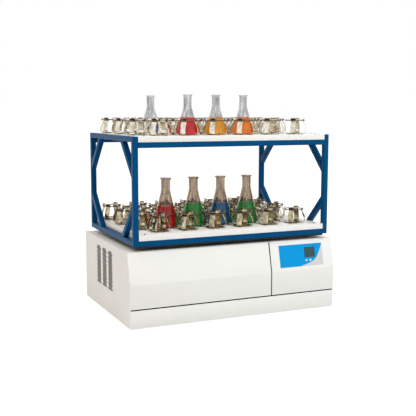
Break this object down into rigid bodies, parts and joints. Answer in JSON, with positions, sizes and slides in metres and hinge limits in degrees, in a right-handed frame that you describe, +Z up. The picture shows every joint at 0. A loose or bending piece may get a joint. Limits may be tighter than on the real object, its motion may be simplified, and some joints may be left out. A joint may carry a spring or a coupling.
{
  "type": "double-deck orbital flask shaker",
  "caption": "Open benchtop orbital shaker: two trays of spring clamps for conical flasks in a braced tube frame, on a low cabinet with an eccentric drive and a sloped control console.",
  "frame": {"origin": "middle of the footprint on the bench, at rest", "axes": "+X to the operator's right, the console's end; +Y away from the operator; +Z up"},
  "size_m": [1.055, 0.711, 1.0364],
  "materials": {
    "blue_paint": "smooth satin powder coat",
    "white_paint": "fine textured off-white powder coat",
    "tray_paint": "smooth white powder coat",
    "stainless": "polished spring sheet",
    "machined_steel": "turned and ground",
    "black_plate": "matte black coat",
    "cast_housing": "machined faces",
    "alloy": "machined",
    "clear_glass": "clear borosilicate",
    "liquid": "coloured solution",
    "belt_rubber": "matte belt",
    "foot_rubber": "matte",
    "overlay_film": "printed film",
    "display_glass": "smoked window",
    "white_plastic": "moulded",
    "black_plastic": "moulded",
    "board": "circuit board"
  },
  "bodies": {
    "base": {"fan_guard": "stainless", "spindle_bearings": "machined_steel", "spindle_housing": "cast_housing", "idler_housings": "cast_housing", "drive_deck": "cast_housing", "motor_body": "alloy", "drive_electronics": "alloy", "drive_belt": "belt_rubber", "rubber_feet": "foot_rubber", "top_panel": "white_paint", "left_side_panel": "white_paint", "right_side_panel": "white_paint", "front_cover": "white_paint", "console_housing": "white_paint", "front_skirt": "white_paint", "base_pan": "white_paint", "back_panel": "white_paint", "control_overlay": "overlay_film", "display_module": "display_glass", "controller_board": "board", "power_inlet": "black_plastic", "fan_frame": "black_plastic"},
    "main_crank": {"crankshaft": "machined_steel", "counterweight": "machined_steel", "driven_pulley": "cast_housing"},
    "carriage": {"post_front_left": "blue_paint", "post_back_left": "blue_paint", "post_front_right": "blue_paint", "post_back_right": "blue_paint", "side_rail_lower_left": "blue_paint", "side_rail_upper_left": "blue_paint", "side_rail_lower_right": "blue_paint", "side_rail_upper_right": "blue_paint", "cross_rail_lower_front": "blue_paint", "cross_rail_upper_front": "blue_paint", "cross_rail_lower_back": "blue_paint", "cross_rail_upper_back": "blue_paint", "side_braces": "blue_paint", "lower_tray": "tray_paint", "upper_tray": "tray_paint", "tray_stiffeners": "tray_paint", "clamp_dishes": "stainless", "lower_clamp_fingers": "stainless", "upper_clamp_fingers": "stainless", "clamp_rings": "stainless", "tray_fasteners": "stainless", "lower_flasks": "clear_glass", "upper_flasks": "clear_glass", "flask_contents": "liquid", "carriage_plate": "black_plate", "carriage_bearings": "machined_steel"},
    "idler_front_left_crank": {"idler_front_left": "machined_steel"},
    "idler_front_right_crank": {"idler_front_right": "machined_steel"},
    "idler_back_left_crank": {"idler_back_left": "machined_steel"},
    "idler_back_right_crank": {"idler_back_right": "machined_steel"},
    "motor_armature": {"motor_rotor": "machined_steel"},
    "fan": {"fan_rotor": "black_plastic"},
    "left_key": {"left_button": "white_plastic"},
    "right_key": {"right_button": "white_plastic"},
    "rocker": {"power_rocker": "black_plastic"}
  },
  "joints": [
    {"name": "main_crank_turn", "type": "hinge", "parent": "base", "child": "main_crank", "pos_m": [0, -0.0095, 0.16], "axis": [0, 0, 1], "continuous": true},
    {"name": "carriage_swivel", "type": "hinge", "parent": "main_crank", "child": "carriage", "pos_m": [0, 0.0035, 0.357], "axis": [0, 0, 1], "continuous": true},
    {"name": "idler_front_left_turn", "type": "hinge", "parent": "base", "child": "idler_front_left_crank", "pos_m": [-0.33, -0.2095, 0.16], "axis": [0, 0, 1], "continuous": true},
    {"name": "idler_front_right_turn", "type": "hinge", "parent": "base", "child": "idler_front_right_crank", "pos_m": [0.33, -0.2095, 0.16], "axis": [0, 0, 1], "continuous": true},
    {"name": "idler_back_left_turn", "type": "hinge", "parent": "base", "child": "idler_back_left_crank", "pos_m": [-0.33, 0.1905, 0.16], "axis": [0, 0, 1], "continuous": true},
    {"name": "idler_back_right_turn", "type": "hinge", "parent": "base", "child": "idler_back_right_crank", "pos_m": [0.33, 0.1905, 0.16], "axis": [0, 0, 1], "continuous": true},
    {"name": "motor_turn", "type": "hinge", "parent": "base", "child": "motor_armature", "pos_m": [-0.19, -0.0095, 0.16], "axis": [0, 0, 1], "continuous": true},
    {"name": "fan_turn", "type": "hinge", "parent": "base", "child": "fan", "pos_m": [0.3, 0.3245, 0.225], "axis": [0, 1, 0], "continuous": true},
    {"name": "left_key_press", "type": "slide", "parent": "base", "child": "left_key", "axis": [0, 0.9728, -0.2316], "range_m": [0, 0.0012], "stiffness_N_per_m": 800, "springref_m": -0.001},
    {"name": "right_key_press", "type": "slide", "parent": "base", "child": "right_key", "axis": [0, 0.9728, -0.2316], "range_m": [0, 0.0012], "stiffness_N_per_m": 800, "springref_m": -0.001},
    {"name": "rocker_tip", "type": "hinge", "parent": "base", "child": "rocker", "pos_m": [-0.42, 0.348, 0.084], "axis": [-1, 0, 0], "range_deg": [0, 16]}
  ],
  "couplings": [
    {"joint": "carriage_swivel", "follows": "main_crank_turn", "ratio": -1},
    {"joint": "idler_front_left_turn", "follows": "main_crank_turn", "ratio": 1},
    {"joint": "idler_front_right_turn", "follows": "main_crank_turn", "ratio": 1},
    {"joint": "idler_back_left_turn", "follows": "main_crank_turn", "ratio": 1},
    {"joint": "idler_back_right_turn", "follows": "main_crank_turn", "ratio": 1},
    {"joint": "motor_turn", "follows": "main_crank_turn", "ratio": 4}
  ]
}
